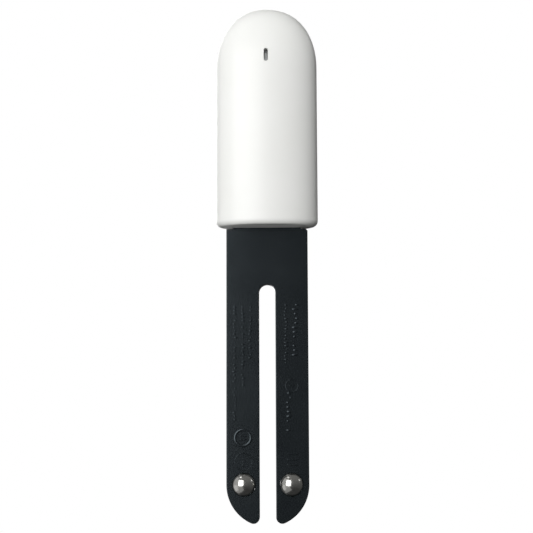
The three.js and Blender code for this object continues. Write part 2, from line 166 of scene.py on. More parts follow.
class Field:
    """A number that varies over a mesh. Sums and products of Fields add the Math nodes they need."""

    def __init__(self, tree, socket):
        self.tree = tree
        self.socket = socket

    def calc(self, operation, *terms):
        made = self.tree.nodes.new("ShaderNodeMath")
        made.operation = operation
        for term, socket in zip(terms, made.inputs):
            plug(self.tree, term, socket)
        return Field(self.tree, made.outputs[0])

    def __add__(self, other):
        return self.calc("ADD", self, other)

    def __radd__(self, other):
        return self.calc("ADD", other, self)

    def __sub__(self, other):
        return self.calc("SUBTRACT", self, other)

    def __rsub__(self, other):
        return self.calc("SUBTRACT", other, self)

    def __mul__(self, other):
        return self.calc("MULTIPLY", self, other)

    def __truediv__(self, other):
        return self.calc("DIVIDE", self, other)

    def __rtruediv__(self, other):
        return self.calc("DIVIDE", other, self)

    def __pow__(self, other):
        return self.calc("POWER", self, other)

    def sine(self):
        return self.calc("SINE", self)

    def cosine(self):
        return self.calc("COSINE", self)

    def between(self, start, end):
        """0 before start, 1 after end, and a straight climb from one to the other."""
        climb = (self - start) / (end - start)
        return self.calc("MAXIMUM", self.calc("MINIMUM", climb, 1.0), 0.0)


# %% [markdown]
# ## Light
# The sensor stands in a white tent. One large softbox on the left gives the bright band down the head
# and the bright spot on each steel dome. Weaker lights on the left, above and below shape the rest, and
# two stand behind for the views of the back. Three fills only shade, so they are left out of the
# reflections, and the world's dim light only shows in reflections. The tent is a sphere that only the
# camera sees.

# %% Add the lights
LIGHTS = {
    # name: (bearing and height of the light in degrees, its width and height in degrees,
    #        its brightness on the sensor, whether it shows in reflections)
    "key_softbox": ((-29, 8), (42, 48), 2.42, True),
    "top_left": ((-58, 56), (14, 12), 0.10, True),
    "left_wall": ((-88, 0), (60, 90), 0.78, True),
    "right_strip": ((80, 20), (5, 12), 0.035, True),
    "top_right": ((112, 38), (8, 8), 0.05, True),
    "front_fill": ((16, 10), (50, 40), 0.68, False),
    "top_fill": ((0, 50), (50, 40), 1.20, False),
    "low_fill": ((-60, -38), (80, 56), 0.50, True),
    "back_softbox": ((-158, 22), (50, 50), 2.3, True),
    "back_fill": ((172, 10), (60, 60), 0.9, False),
}
LIGHT_DISTANCE = 0.4


def toward(bearing, height):
    """A direction from its bearing, with 0 in front and 90 on the right, and its height angle."""
    bearing, height = math.radians(bearing), math.radians(height)
    level = math.cos(height)
    return Vector((math.sin(bearing) * level, -math.cos(bearing) * level, math.sin(height)))


def add_light(name, place, spread, brightness, reflected):
    """A softbox that faces the sensor. Its power gives the wanted light whatever its size."""
    data = bpy.data.lights.new(name, "AREA")
    data.shape = "RECTANGLE"
    data.size = 2 * LIGHT_DISTANCE * math.tan(math.radians(spread[0]) / 2)
    data.size_y = 2 * LIGHT_DISTANCE * math.tan(math.radians(spread[1]) / 2)
    data.energy = brightness * math.pi * LIGHT_DISTANCE**2
    light = bpy.data.objects.new(name, data)
    bpy.context.scene.collection.objects.link(light)
    facing = toward(*place)
    light.location = facing * LIGHT_DISTANCE
    light.rotation_euler = facing.to_track_quat("Z", "Y").to_euler()
    light.visible_camera = False
    light.visible_glossy = reflected


for name, setting in LIGHTS.items():
    add_light(name, *setting)

world = bpy.data.worlds.new("tent_light")
world.use_nodes = True
bpy.context.scene.world = world
sky = world.node_tree
place = node(sky, "ShaderNodeTexCoord")
height = node(sky, "ShaderNodeSeparateXYZ", Vector=place.outputs["Generated"])
climb = Field(sky, height.outputs["Z"]).between(-0.6, 0.9)
tent = node(sky, "ShaderNodeValToRGB", Fac=climb)
tent.color_ramp.elements[0].color = (0.05, 0.05, 0.05, 1)
tent.color_ramp.elements[1].color = (0.20, 0.20, 0.197, 1)
sky.links.new(tent.outputs["Color"], sky.nodes["Background"].inputs["Color"])
world.cycles_visibility.diffuse = False

view = bpy.context.scene.view_settings
view.view_transform = "Standard"
view.look = "None"
print(len(LIGHTS), "lights")

# %% Add the white tent and the floor


def stage_disc(name, radius, z, material):
    """A flat round floor."""
    bm = bmesh.new()
    bmesh.ops.create_circle(bm, cap_ends=True, segments=96, radius=radius)
    bmesh.ops.translate(bm, verts=bm.verts, vec=(0, 0, z))
    mesh = bpy.data.meshes.new(name)
    bm.to_mesh(mesh)
    bm.free()
    mesh.materials.append(material)
    return bpy.data.objects.new(name, mesh)


def glowing(name, colour, strength):
    """A surface that gives its own even light."""
    material = bpy.data.materials.new(name)
    material.use_nodes = True
    tree = material.node_tree
    tree.nodes.remove(tree.nodes["Principled BSDF"])
    glow = node(tree, "ShaderNodeEmission", Color=colour, Strength=strength)
    tree.links.new(glow.outputs[0], tree.nodes["Material Output"].inputs["Surface"])
    return material


def only_camera_sees(piece):
    """Keeps a stage piece out of the sensor's light and reflections."""
    piece.visible_diffuse = False
    piece.visible_glossy = False
    piece.visible_transmission = False
    piece.visible_shadow = False


FLOOR_Z = -0.35
FLOOR_RADIUS = 0.9
TENT_RADIUS = 4
tent_mesh = bpy.data.meshes.new("white_tent")
bm = bmesh.new()
bmesh.ops.create_uvsphere(bm, u_segments=48, v_segments=24, radius=TENT_RADIUS)
bm.to_mesh(tent_mesh)
bm.free()
tent_mesh.materials.append(glowing("tent_white", (1, 1, 1, 1), 1.0))
tent_piece = bpy.data.objects.new("white_tent", tent_mesh)
floor_white = glowing("floor_white", (0.94, 0.94, 0.94, 1), 1.0)
floor = stage_disc("floor", FLOOR_RADIUS, FLOOR_Z, floor_white)
for piece in (tent_piece, floor):
    bpy.context.scene.collection.objects.link(piece)
    only_camera_sees(piece)

# %% [markdown]
# ## Materials
# Each finish is one short function. Patterns are drawn in the piece's own space with 1 unit equal to
# 1 mm, so that a grain size can be given as it would be measured with a loupe. Numbers that are the same
# all over a surface go straight onto the shader.

# %% Helpers for materials


def principled(name, colour, roughness, **sockets):
    """A new material, its node tree and its main shader."""
    material = bpy.data.materials.new(name)
    material.use_nodes = True
    shader = material.node_tree.nodes["Principled BSDF"]
    shader.inputs["Base Color"].default_value = (*colour, 1)
    shader.inputs["Roughness"].default_value = roughness
    for key, value in sockets.items():
        shader.inputs[key.replace("_", " ")].default_value = value
    return material, material.node_tree, shader


def millimetres(tree, stretch=(1, 1, 1)):
    """Coordinates on the piece in which 1 is 1 mm, stretched along an axis where asked."""
    place = node(tree, "ShaderNodeTexCoord")
    scale = [1 / MM / factor for factor in stretch]
    return node(tree, "ShaderNodeMapping", Vector=place.outputs["Object"], Scale=scale).outputs[0]


def noise(tree, where, size, detail=3.0, seed=0.0):
    """Cloudy variation from 0 to 1, with blobs about `size` mm across."""
    made = node(
        tree, "ShaderNodeTexNoise", {"noise_dimensions": "4D"},
        Vector=where, W=seed, Scale=1 / size, Detail=detail,
    )
    return Field(tree, made.outputs[0])


def shades(tree, amount, *stops):
    """A colour that runs through the given stops: (position, red, green, blue)."""
    ramp = node(tree, "ShaderNodeValToRGB", Fac=amount)
    elements = ramp.color_ramp.elements
    while len(elements) < len(stops):
        elements.new(0.5)
    for element, (position, *colour) in zip(elements, stops):
        element.position = position
        element.color = (*colour, 1)
    return ramp.outputs["Color"]


def raise_surface(tree, shader, height, depth_mm, strength=1.0):
    """Turns a height pattern into bumps of about the given depth."""
    bump = node(tree, "ShaderNodeBump", Strength=strength, Distance=depth_mm * MM, Height=height)
    tree.links.new(bump.outputs[0], shader.inputs["Normal"])


# %% [markdown]
# ### Moulded plastics
# The head is white ABS from a fine satin mould: nearly smooth, with faint cloudiness and a soft gloss.
# The blade is charcoal, with a very fine grain under a soft shine.

# %% Plastics and rubber


def shell_white():
    material, tree, shader = principled(
        "shell_white", (0.83, 0.835, 0.81), 0.34, Specular_IOR_Level=0.5, Coat_Weight=0.12,
        Coat_Roughness=0.32,
    )
    where = millimetres(tree)
    cloud = noise(tree, where, 9)
    grain = noise(tree, where, 0.16, 2.0, 1.0)
    colour = shades(tree, cloud, (0.3, 0.825, 0.83, 0.803), (0.7, 0.84, 0.843, 0.822))
    tree.links.new(colour, shader.inputs["Base Color"])
    plug(tree, 0.30 + cloud * 0.06 + grain * 0.04, shader.inputs["Roughness"])
    raise_surface(tree, shader, grain, 0.004, 0.5)
    return material


def blade_charcoal():
    material, tree, shader = principled(
        "blade_charcoal", (0.0062, 0.0078, 0.0092), 0.19, Specular_IOR_Level=0.56,
        Specular_Tint=(0.78, 0.92, 1.0, 1),
    )
    where = millimetres(tree)
    cloud = noise(tree, where, 7, 4.0)
    grain = noise(tree, where, 0.11, 2.0, 3.0)
    colour = shades(tree, cloud, (0.3, 0.0052, 0.0067, 0.0080), (0.7, 0.0072, 0.0090, 0.0104))
    tree.links.new(colour, shader.inputs["Base Color"])
    plug(tree, 0.145 + cloud * 0.04 + grain * 0.04, shader.inputs["Roughness"])
    raise_surface(tree, shader, grain, 0.003, 0.3)
    return material


def seal_rubber():
    material, tree, shader = principled("seal_rubber", (0.012, 0.012, 0.013), 0.78)
    where = millimetres(tree)
    bloom = noise(tree, where, 1.6, 4.0)
    colour = shades(tree, bloom, (0.3, 0.010, 0.010, 0.011), (0.75, 0.022, 0.022, 0.024))
    tree.links.new(colour, shader.inputs["Base Color"])
    raise_surface(tree, shader, noise(tree, where, 0.12), 0.02, 0.5)
    return material


def chassis_grey():
    material, tree, shader = principled("chassis_grey", (0.27, 0.29, 0.30), 0.5)
    where = millimetres(tree)
    flow = noise(tree, millimetres(tree, (1, 1, 4)), 3, 3.0)
    colour = shades(tree, flow, (0.3, 0.25, 0.27, 0.28), (0.7, 0.29, 0.305, 0.315))
    tree.links.new(colour, shader.inputs["Base Color"])
    raise_surface(tree, shader, noise(tree, where, 0.14), 0.015, 0.5)
    return material


def clear_diffuser():
    material, tree, shader = principled(
        "clear_diffuser", (0.25, 0.26, 0.26), 0.3, Transmission_Weight=0.15, IOR=1.49,
    )
    haze = noise(tree, millimetres(tree), 0.5)
    colour = shades(tree, haze, (0.3, 0.22, 0.23, 0.23), (0.7, 0.29, 0.30, 0.30))
    tree.links.new(colour, shader.inputs["Base Color"])
    return material


# %% [markdown]
# ### Metals
# The domes are turned and polished stainless steel, with a low roughness and a slightly uneven surface
# that bends reflections. The cell is nickel plated and brushed in rings. The contacts are
# spring metal under a thin gold flash.

# %% Metals


def electrode_steel():
    material, tree, shader = principled("electrode_steel", (0.58, 0.575, 0.55), 0.16, Metallic=1.0)
    where = millimetres(tree)
    dents = noise(tree, where, 1.3, 2.0)
    wear = noise(tree, where, 0.35, 4.0, 2.0)
    plug(tree, 0.12 + wear * 0.14, shader.inputs["Roughness"])
    colour = shades(tree, wear, (0.3, 0.52, 0.515, 0.49), (0.7, 0.64, 0.635, 0.61))
    tree.links.new(colour, shader.inputs["Base Color"])
    raise_surface(tree, shader, dents, 0.03, 0.5)
    return material


def fastener_steel():
    material, tree, shader = principled("fastener_steel", (0.56, 0.57, 0.59), 0.28, Metallic=1.0)
    where = millimetres(tree)
    tint = noise(tree, where, 0.8)
    colour = shades(tree, tint, (0.3, 0.50, 0.52, 0.56), (0.7, 0.62, 0.61, 0.60))
    tree.links.new(colour, shader.inputs["Base Color"])
    plug(tree, 0.2 + tint * 0.2, shader.inputs["Roughness"])
    raise_surface(tree, shader, noise(tree, where, 0.15), 0.008, 0.5)
    return material


def cell_steel():
    """Nickel plate with fine rings round the cell's own centre."""
    material, tree, shader = principled("cell_steel", (0.62, 0.61, 0.59), 0.3, Metallic=1.0)
    centre = middle("cell_can") * MM
    place = node(tree, "ShaderNodeTexCoord")
    shifted = node(tree, "ShaderNodeVectorMath", {"operation": "SUBTRACT"})
    tree.links.new(place.outputs["Object"], shifted.inputs[0])
    shifted.inputs[1].default_value = centre
    parts = node(tree, "ShaderNodeSeparateXYZ", Vector=shifted.outputs[0])
    x, z = (Field(tree, parts.outputs[axis]) / MM for axis in ("X", "Z"))
    radius = (x * x + z * z) ** 0.5
    rings = noise(tree, (radius * 14.0).socket, 1, 2.0)
    smudge = noise(tree, millimetres(tree), 5, 4.0, 4.0)
    plug(tree, 0.20 + rings * 0.12 + smudge * 0.12, shader.inputs["Roughness"])
    colour = shades(tree, smudge, (0.3, 0.57, 0.56, 0.545), (0.7, 0.66, 0.65, 0.63))
    tree.links.new(colour, shader.inputs["Base Color"])
    raise_surface(tree, shader, rings, 0.004, 0.6)
    return material


def contact_plating():
    material, tree, shader = principled("contact_plating", (0.80, 0.58, 0.26), 0.25, Metallic=1.0)
    rub = noise(tree, millimetres(tree, (1, 1, 5)), 0.6, 3.0)
    colour = shades(tree, rub, (0.3, 0.72, 0.51, 0.21), (0.75, 0.83, 0.64, 0.34))
    tree.links.new(colour, shader.inputs["Base Color"])
    plug(tree, 0.18 + rub * 0.2, shader.inputs["Roughness"])
    return material


# %% [markdown]
# ### Electronics
# A circuit board is a green lacquer over copper tracks, which show as slightly lighter and raised lines.
# Chips are dull black epoxy, and the antenna and the lamp are ceramic.

# %% Electronics


def board_green():
    material, tree, shader = principled("board_green", (0.01, 0.085, 0.035), 0.32, Coat_Weight=0.4)
    where = millimetres(tree)
    cells = node(
        tree, "ShaderNodeTexVoronoi", {"feature": "DISTANCE_TO_EDGE"},
        Vector=where, Scale=0.55, Randomness=0.35,
    )
    tracks = Field(tree, cells.outputs["Distance"]).between(0.05, 0.075)
    colour = shades(tree, tracks, (0.0, 0.022, 0.17, 0.07), (1.0, 0.008, 0.07, 0.03))
    tree.links.new(colour, shader.inputs["Base Color"])
    raise_surface(tree, shader, 1.0 - tracks, 0.03, 0.6)
    return material


def chip_black():
    material, tree, shader = principled("chip_black", (0.012, 0.012, 0.013), 0.5)
    grain = noise(tree, millimetres(tree), 0.06, 3.0)
    colour = shades(tree, grain, (0.3, 0.010, 0.010, 0.011), (0.7, 0.020, 0.020, 0.021))
    tree.links.new(colour, shader.inputs["Base Color"])
    raise_surface(tree, shader, grain, 0.01, 0.5)
    return material


def ceramic_white():
    material, tree, shader = principled("ceramic_white", (0.66, 0.61, 0.50), 0.45)
    speck = noise(tree, millimetres(tree), 0.2, 4.0)
    colour = shades(tree, speck, (0.3, 0.60, 0.55, 0.45), (0.7, 0.70, 0.66, 0.56))
    tree.links.new(colour, shader.inputs["Base Color"])
    raise_surface(tree, shader, speck, 0.008, 0.5)
    return material


MATERIALS = {
    make.__name__: make()
    for make in (
        shell_white, blade_charcoal, seal_rubber, chassis_grey, clear_diffuser, electrode_steel,
        fastener_steel, cell_steel, contact_plating, board_green, chip_black, ceramic_white,
    )
}
print(len(MATERIALS), "materials")

# %% [markdown]
# ## Mesh helpers
# Most pieces drawn afresh are skins stretched over a row of rings: a slab is an outline carried through
# the sheet, and a turned piece is a profile carried round an axis. Corners get small arcs, because a
# moulded or turned edge is never perfectly sharp and the arc is what catches the light.

# %% Outlines


def arc(x, z, radius, start, end, steps):
    """Points along an arc, both ends included."""
    angles = [start + (end - start) * i / steps for i in range(steps + 1)]
    return [(x + radius * math.cos(angle), z + radius * math.sin(angle)) for angle in angles]


def softened(points, steps=4):
    """A closed outline of (u, v, radius) in which each corner becomes an arc of its own radius."""
    path = []
    for i, (u, v, radius) in enumerate(points):
        if radius <= 0:
            path.append((u, v))
            continue
        corner = Vector((u, v))
        to_last = (Vector(points[i - 1][:2]) - corner).normalized()
        to_next = (Vector(points[(i + 1) % len(points)][:2]) - corner).normalized()
        half = to_last.angle(to_next) / 2
        centre = corner + (to_last + to_next).normalized() * radius / math.sin(half)
        start = corner + to_last * radius / math.tan(half) - centre
        end = corner + to_next * radius / math.tan(half) - centre
        sweep = start.angle_signed(end)
        for step in range(steps + 1):
            share = step / steps
            along_start = start * math.cos(sweep * share)
            across_start = Vector((start.y, -start.x)) * math.sin(sweep * share)
            spoke = along_start + across_start
            path.append(tuple(centre + spoke))
    return path


def rounded_rectangle(half_x, half_y, radius, steps=4):
    """A rectangle round the origin whose corners are arcs."""
    return softened([
        (half_x, half_y, radius), (-half_x, half_y, radius),
        (-half_x, -half_y, radius), (half_x, -half_y, radius),
    ], steps)


def obround(x, z, width, height, steps=12):
    """A slot's outline: straight sides and round ends."""
    radius = min(width, height) / 2
    reach_x = width / 2 - radius
    reach_z = height / 2 - radius
    corner_signs = [(1, 1), (-1, 1), (-1, -1), (1, -1)]
    points = []
    for quarter, (sign_x, sign_z) in enumerate(corner_signs):
        start = quarter * math.pi / 2
        points += arc(
            x + sign_x * reach_x, z + sign_z * reach_z, radius, start, start + math.pi / 2, steps,
        )
    return single(points)


def single(points, apart=1e-4):
    """The outline without points that fall on the one before."""
    return [p for i, p in enumerate(points) if math.dist(p, points[i - 1]) > apart]


def grown(outline, amount):
    """The outline moved outwards by an amount, or inwards by a negative one."""
    count = len(outline)
    area = sum(
        outline[i - 1][0] * outline[i][1] - outline[i][0] * outline[i - 1][1] for i in range(count)
    )
    outward = math.copysign(amount, area) if amount >= 0 else -math.copysign(-amount, area)
    moved = []
    for i, point in enumerate(outline):
        here = Vector(point)
        edge_in = (here - Vector(outline[i - 1])).normalized()
        edge_out = (Vector(outline[(i + 1) % count]) - here).normalized()
        normal_in = Vector((edge_in.y, -edge_in.x))
        normal_out = Vector((edge_out.y, -edge_out.x))
        mitre = (normal_in + normal_out) / (1 + normal_in.dot(normal_out))
        moved.append(tuple(here + mitre * outward))
    return moved


# %% Skins


def lofted(rings):
    """A closed skin through rings that have equally many points."""
    bm = bmesh.new()
    placed = [[bm.verts.new(point) for point in ring] for ring in rings]
    for near, far in zip(placed, placed[1:]):
        for i in range(len(near)):
            bm.faces.new((near[i - 1], near[i], far[i], far[i - 1]))
    bm.faces.new(placed[0])
    bm.faces.new(placed[-1])
    bmesh.ops.recalc_face_normals(bm, faces=bm.faces)
    return bm


def slab(outline, y0, y1, edge0=0.0, edge1=0.0, steps=4):
    """An outline in X and Z made solid from y0 to y1, with a rounded edge at each end."""
    rings = []
    for step in range(steps + 1 if edge0 else 1):
        angle = math.pi / 2 * step / steps
        drawn_in = edge0 * (1 - math.sin(angle))
        rings.append((drawn_in, y0 + edge0 * (1 - math.cos(angle))))
    for step in range(steps + 1 if edge1 else 1):
        angle = math.pi / 2 * step / steps
        drawn_in = edge1 * (1 - math.cos(angle)) if edge1 else 0.0
        rings.append((drawn_in, y1 - edge1 * (1 - math.sin(angle)) if edge1 else y1))
    return lofted([[(x, y, z) for x, z in grown(outline, -inset)] for inset, y in rings])


def turned(profile, x, z, steps=64):
    """A profile of (radius, y) carried round an axis along Y. It closes on itself off the axis."""
    bm = bmesh.new()
    rings = []
    for radius, y in profile:
        angles = [2 * math.pi * k / steps for k in range(steps if radius > 1e-6 else 1)]
        rings.append([
            bm.verts.new((x + radius * math.cos(a), y, z + radius * math.sin(a))) for a in angles
        ])
    pairs = list(zip(rings, rings[1:]))
    if profile[0][0] > 1e-6:
        pairs.append((rings[-1], rings[0]))
    for near, far in pairs:
        for k in range(steps):
            following = (k + 1) % steps
            ring_corners = (
                near[k % len(near)], near[following % len(near)],
                far[following % len(far)], far[k % len(far)],
            )
            distinct = list(dict.fromkeys(ring_corners))
            if len(distinct) > 2:
                bm.faces.new(distinct)
    bmesh.ops.recalc_face_normals(bm, faces=bm.faces)
    return bm


def block(low, high, edge=0.0, steps=2):
    """A box between two corners, with rounded edges."""
    bm = bmesh.new()
    bmesh.ops.create_cube(bm, size=1)
    size = Vector(high) - Vector(low)
    centre = (Vector(high) + Vector(low)) / 2
    bmesh.ops.transform(
        bm, matrix=Matrix.Translation(centre) @ Matrix.Diagonal((*size, 1)), verts=bm.verts,
    )
    if edge:
        bmesh.ops.bevel(bm, geom=bm.edges, offset=edge, segments=steps, profile=0.5, affect="EDGES")
    return bm


# %% [markdown]
# ## Joining, cutting and finishing
# A boolean joins or cuts two closed solids. `finish` turns the working solid into a piece of the
# sensor: it marks hard edges, flattens the shading of large flat faces, shrinks the mesh to metres,
# hangs the piece on the body that it rides on and hides the plain nodes that it stands for.

# %% Solids and finished pieces


def as_object(bm):
    """A mesh object from a bmesh, in millimetres."""
    mesh = bpy.data.meshes.new("work")
    bm.to_mesh(mesh)
    bm.free()
    made = bpy.data.objects.new("work", mesh)
    bpy.context.scene.collection.objects.link(made)
    return made


def bake(piece):
    """Makes the result of an object's modifiers its plain mesh."""
    graph = bpy.context.evaluated_depsgraph_get()
    result = bpy.data.meshes.new_from_object(piece.evaluated_get(graph), depsgraph=graph)
    before = piece.data
    piece.modifiers.clear()
    piece.data = result
    bpy.data.meshes.remove(before)
    return piece


def combine(piece, tool, operation):
    """Cuts the tool out of the piece, joins it on or keeps what they share. The tool is used up."""
    change = piece.modifiers.new("Combine", "BOOLEAN")
    change.operation = operation
    change.solver = "MANIFOLD"
    change.object = tool
    bake(piece)
    bpy.data.objects.remove(tool)
    return piece


def minus(piece, *tools):
    for tool in tools:
        combine(piece, as_object(tool), "DIFFERENCE")
    return piece


def plus(piece, *tools):
    for tool in tools:
        combine(piece, as_object(tool), "UNION")
    return piece


def finish(piece, name, slot, nodes, body="sensor", sharp=32.0):
    """Turns a working solid into a finished piece that stands for the given plain nodes."""
    piece.name = piece.data.name = name
    mesh = piece.data
    bm = bmesh.new()
    bm.from_mesh(mesh)
    bmesh.ops.remove_doubles(bm, verts=bm.verts, dist=2e-4)
    bmesh.ops.dissolve_degenerate(bm, edges=bm.edges, dist=1e-4)
    bm.to_mesh(mesh)
    bm.free()
    mesh.materials.clear()
    mesh.materials.append(MATERIALS[slot])
    mesh.polygons.foreach_set("material_index", [0] * len(mesh.polygons))
    mesh.polygons.foreach_set("use_smooth", [True] * len(mesh.polygons))
    mesh.set_sharp_from_angle(angle=math.radians(sharp))
    shading = piece.modifiers.new("Flat faces stay flat", "WEIGHTED_NORMAL")
    shading.keep_sharp = True
    shading.weight = 80
    bake(piece)
    piece.data.name = name
    piece.data.transform(Matrix.Scale(MM, 4))
    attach(piece, body)
    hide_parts(*nodes)
    triangles = sum(len(face.vertices) - 2 for face in piece.data.polygons)
    print(f"{name}: {triangles} triangles")
    return piece


# %% [markdown]
# ## The head's form
# The head is an ellipse carried upwards, drawn in by a fillet at the bottom and by a superelliptical
# dome at the top. One formula gives every point of it, so Geometry Nodes make it: a flat grid is
# wrapped round the form, its first coordinate going round the ellipse and its second climbing from the
# middle of the underside to the crown. The same tree serves again wherever a piece must fit inside.

# %% A Geometry Nodes tree for the form

# Where each stretch of the climb ends, from the underside's middle at 0 to the crown at 1
UNDERSIDE_END = 0.06
RIM_END = 0.18
WALL_END = 0.42
HEAD_SIDES = 193
HEAD_LEVELS = 101


def head_form_tree():
    tree = bpy.data.node_groups.new("head_form", "GeometryNodeTree")
    tree.interface.new_socket("Geometry", in_out="OUTPUT", socket_type="NodeSocketGeometry")
    for name, kind in (
        ("Half width", "NodeSocketFloat"), ("Half depth", "NodeSocketFloat"),
        ("Dome foot", "NodeSocketFloat"), ("Dome rise", "NodeSocketFloat"),
        ("Dome power", "NodeSocketFloat"), ("Rim radius", "NodeSocketFloat"),
        ("Sides", "NodeSocketInt"), ("Levels", "NodeSocketInt"),
        ("Material", "NodeSocketMaterial"),
    ):
        tree.interface.new_socket(name, in_out="INPUT", socket_type=kind)
    given = node(tree, "NodeGroupInput").outputs
    half_width, half_depth, foot, rise, power, rim = (
        Field(tree, given[name])
        for name in ("Half width", "Half depth", "Dome foot", "Dome rise", "Dome power", "Rim radius")
    )
    grid = node(
        tree, "GeometryNodeMeshGrid", Size_X=1.0, Size_Y=1.0,
        Vertices_X=given["Sides"], Vertices_Y=given["Levels"],
    )
    spot = node(tree, "ShaderNodeSeparateXYZ", Vector=node(tree, "GeometryNodeInputPosition").outputs[0])
    around = (Field(tree, spot.outputs["X"]) + 0.5) * (2 * math.pi)
    climb = Field(tree, spot.outputs["Y"]) + 0.5
    underside_share = climb.between(0.0, UNDERSIDE_END)
    rim_angle = climb.between(UNDERSIDE_END, RIM_END) * (math.pi / 2)
    wall_share = climb.between(RIM_END, WALL_END)
    dome_angle = climb.between(WALL_END, 1.0) * (math.pi / 2)
    drawn_in = rim * (1.0 - rim_angle.sine())
    dome_climb = dome_angle.sine()
    left_over = 1.0 - dome_climb**power
    narrowing = left_over.calc("MAXIMUM", left_over, 0.0)
    reach = narrowing ** (1.0 / power) * underside_share
    x = around.cosine() * (half_width - drawn_in) * reach
    y = around.sine() * (half_depth - drawn_in * RIM_DEPTH_SHARE) * reach
    z = rim * (1.0 - rim_angle.cosine()) + wall_share * (foot - rim) + rise * dome_climb
    target = node(tree, "ShaderNodeCombineXYZ", X=x, Y=y, Z=z)
    wrapped = node(
        tree, "GeometryNodeSetPosition", Geometry=grid.outputs["Mesh"], Position=target.outputs[0],
    )
    closed = node(tree, "GeometryNodeMergeByDistance", Geometry=wrapped.outputs[0], Distance=2e-3)
    plain = node(tree, "GeometryNodeRealizeInstances", Geometry=closed.outputs[0])
    dressed = node(
        tree, "GeometryNodeSetMaterial", Geometry=plain.outputs[0], Material=given["Material"],
    )
    tree.links.new(dressed.outputs[0], node(tree, "NodeGroupOutput").inputs[0])
    return tree


def grow(tree, **values):
    """Runs a Geometry Nodes tree with the given named inputs and returns the plain result."""
    made = bpy.data.objects.new("work", bpy.data.meshes.new("work"))
    bpy.context.scene.collection.objects.link(made)
    modifier = made.modifiers.new("Grow", "NODES")
    modifier.node_group = tree
    sockets = {
        item.name: item.identifier
        for item in tree.interface.items_tree
        if item.item_type == "SOCKET" and item.in_out == "INPUT"
    }
    for key, value in values.items():
        modifier[sockets[key.replace("_", " ")]] = value
    return bake(made)


HEAD_FORM = head_form_tree()


def head_form(inset=0.0):
    """The head's solid form, moved in by an inset. It still stands on z = 0."""
    form = grow(
        HEAD_FORM, Half_width=HALF_WIDTH - inset, Half_depth=HALF_DEPTH - inset,
        Dome_foot=DOME_FOOT, Dome_rise=DOME_HEIGHT - inset, Dome_power=DOME_POWER,
        Rim_radius=RIM_RADIUS, Sides=HEAD_SIDES, Levels=HEAD_LEVELS,
        Material=MATERIALS["shell_white"],
    )
    bm = bmesh.new()
    bm.from_mesh(form.data)
    bmesh.ops.recalc_face_normals(bm, faces=bm.faces)
    bm.to_mesh(form.data)
    bm.free()
    return form


def head_skin_y(x, z):
    """Where the head's front surface is, for a place in X and Z."""
    rise = max(0.0, (z - DOME_FOOT) / DOME_HEIGHT)
    narrowing = (1 - rise**DOME_POWER) ** (1 / DOME_POWER)
    return -HALF_DEPTH * math.sqrt(max(0.0, narrowing**2 - (x / HALF_WIDTH) ** 2))


print("head skin at the light slot: y =", round(head_skin_y(0, 39.7), 3))

# %% [markdown]
# ## Front shell and battery cover
# Both shells are halves of the form. Each half is cut at the seam, given a wall by Solidify, and its
# rim is rounded by a bevel that only finds the sharp edges. The underside then gets a gentle slope
# down to the opening for the blade. The light slot and the opening have rounded lips, so their cutting
# tools flare where they meet the surface.

# %% Halve the form and give it a wall

SHELL_EDGE = 0.13


def half_shell(side):
    """The part of the head in front of the seam (side -1) or behind it (side 1)."""
    form = head_form()
    bm = bmesh.new()
    bm.from_mesh(form.data)
    bmesh.ops.bisect_plane(
        bm, geom=bm.verts[:] + bm.edges[:] + bm.faces[:], dist=1e-5,
        plane_co=(0, SEAM_Y + side * SEAM_GAP / 2, 0), plane_no=(0, -side, 0), clear_outer=True,
    )
    bm.to_mesh(form.data)
    bm.free()
    thicken = form.modifiers.new("Wall", "SOLIDIFY")
    thicken.thickness = WALL
    thicken.offset = -1
    thicken.use_even_offset = True
    soften_rim = form.modifiers.new("Rounded rim", "BEVEL")
    soften_rim.limit_method = "ANGLE"
    soften_rim.angle_limit = math.radians(50)
    soften_rim.width = SHELL_EDGE
    soften_rim.segments = 3
    return bake(form)


COLLAR_Z = -0.28
COLLAR_ROOT = 0.5
# How far the slope's start and end stand outside the neck in X and in Y, and the radius of their corners
SLOPE_START = (1.3, 2.6, 2.5)
SLOPE_END = (0.3, 0.4, 0.6)


def collar(side):
    """The underside's gentle slope down to the opening, on one side (-1 front, 1 back) of the seam."""
    rings = []
    for (spread_x, spread_y, corner), z in (
        (SLOPE_START, COLLAR_ROOT), (SLOPE_START, 0.0), (SLOPE_END, COLLAR_Z),
    ):
        outline = rounded_rectangle(NECK_HALF + spread_x, -BLADE_FRONT + spread_y, corner, 8)
        rings.append([(x, y, z) for x, y in outline])
    near, far = sorted((SEAM_Y + side * SEAM_GAP / 2, side * 9))
    slope = as_object(lofted(rings))
    own_side = as_object(block((-20, near, -5), (20, far, 5)))
    return combine(slope, own_side, "INTERSECT")


OPENING_CORNER = 0.5


def blade_opening():
    """A tool for the hole in the underside, flared into a rounded lip."""
    rings = []
    for spread, z in (
        (0.22, -0.6), (0.22, COLLAR_Z - 0.02), (0.14, COLLAR_Z + 0.06), (0.1, 0.4), (0.1, 3.0),
    ):
        outline = rounded_rectangle(NECK_HALF + spread, -BLADE_FRONT + spread, OPENING_CORNER)
        rings.append([(x, y, z) for x, y in outline])
    return lofted(rings)


slot_low, slot_high = corners("light_guide")
SLOT_Z = (slot_low.z + slot_high.z) / 2 - 0.06
SLOT_WIDTH = 0.9
SLOT_HEIGHT = 3.0


def light_slot():
    """A tool for the light slot, whose lip follows the dome's surface."""
    rings = []
    for spread, depth in (
        (0.3, -0.5), (0.08, -0.02), (0.03, 0.05), (0.01, 0.12), (0.0, 0.25), (0.0, 2.4),
    ):
        outline = grown(obround(0, SLOT_Z, SLOT_WIDTH, SLOT_HEIGHT), spread)
        rings.append([(x, head_skin_y(x, z) + depth, z) for x, z in outline])
    return lofted(rings)


# %% Make the front shell

